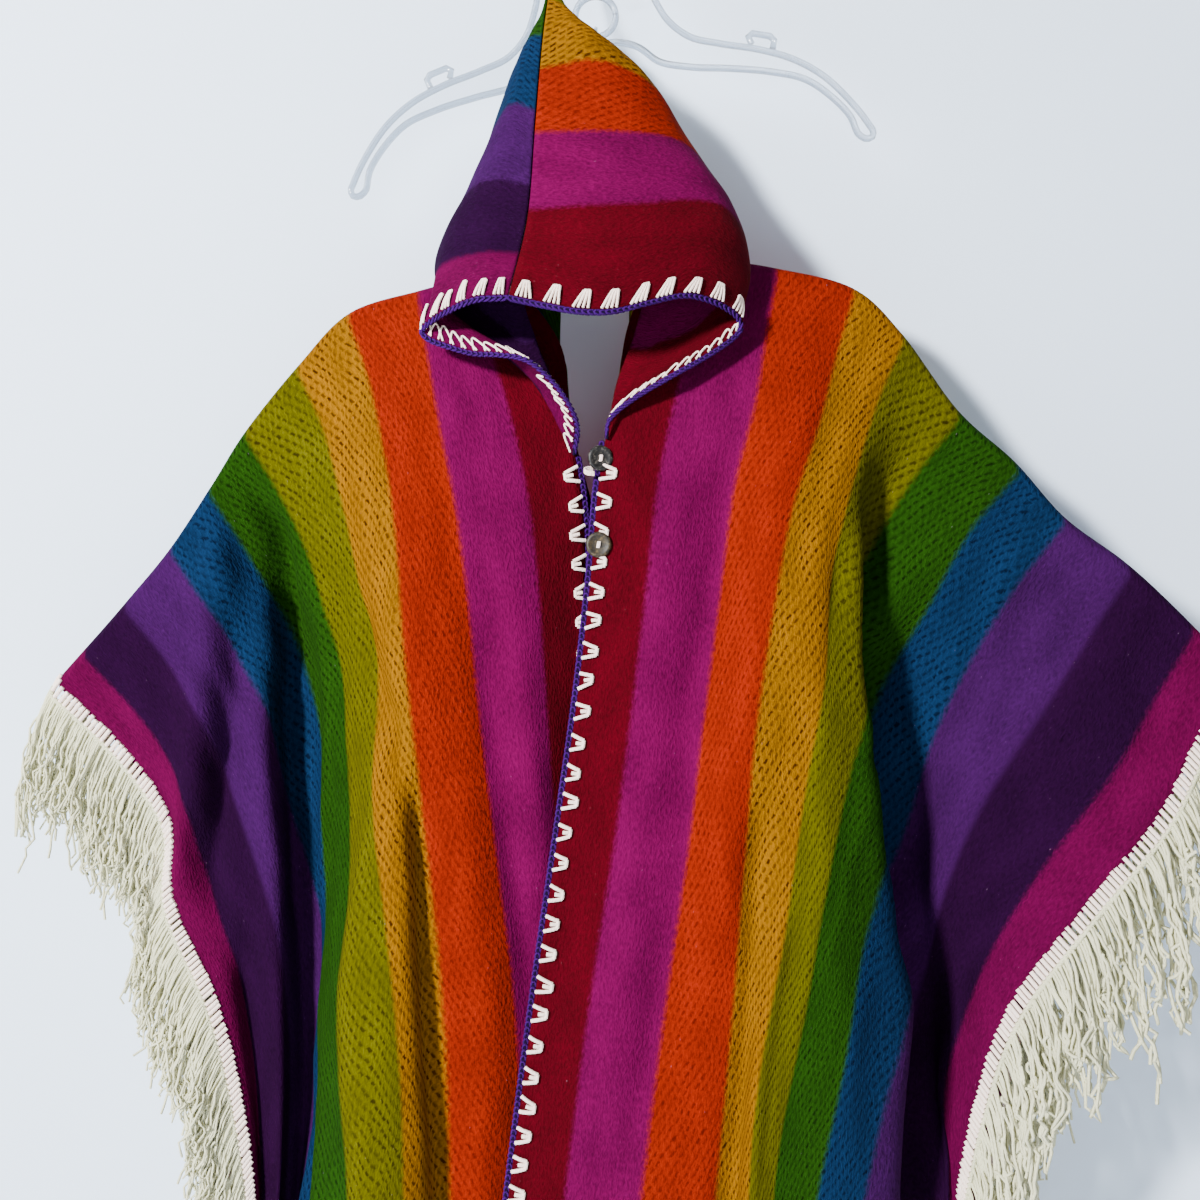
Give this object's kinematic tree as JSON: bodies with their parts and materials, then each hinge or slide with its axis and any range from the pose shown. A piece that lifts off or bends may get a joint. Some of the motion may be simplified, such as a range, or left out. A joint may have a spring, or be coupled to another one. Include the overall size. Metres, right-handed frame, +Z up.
{
  "type": "andean poncho",
  "caption": "Hooded open-front poncho of striped thick wool with crocheted edges and fringed sides, hung on a clear hanger.",
  "frame": {"origin": "inside top of the visible hanger's hook, where the rod bears on it", "axes": "+Z up, -Y the front of the poncho, +X towards the wearer's left"},
  "size_m": [0.9905, 0.1801, 1.4646],
  "materials": {
    "cloth": "brushed wool woven in broad stripes",
    "edging": "crocheted wool",
    "fringe": "undyed wool yarn on a braid",
    "shell_button": "polished shell",
    "clear_plastic": "clear moulded plastic",
    "steel": "plated wire"
  },
  "bodies": {
    "root": {"body_left": "cloth", "body_right": "cloth", "hood_left": "cloth", "hood_right": "cloth", "edging_face_left": "edging", "edging_face_right": "edging", "edging_front_left": "edging", "edging_front_right": "edging", "fringe_front_left": "fringe", "fringe_back_left": "fringe", "fringe_front_right": "fringe", "fringe_back_right": "fringe", "button_upper": "shell_button", "button_lower": "shell_button", "hanger_body": "clear_plastic", "hanger_hook": "steel", "inner_hanger": "clear_plastic", "inner_hook": "steel"}
  },
  "joints": []
}
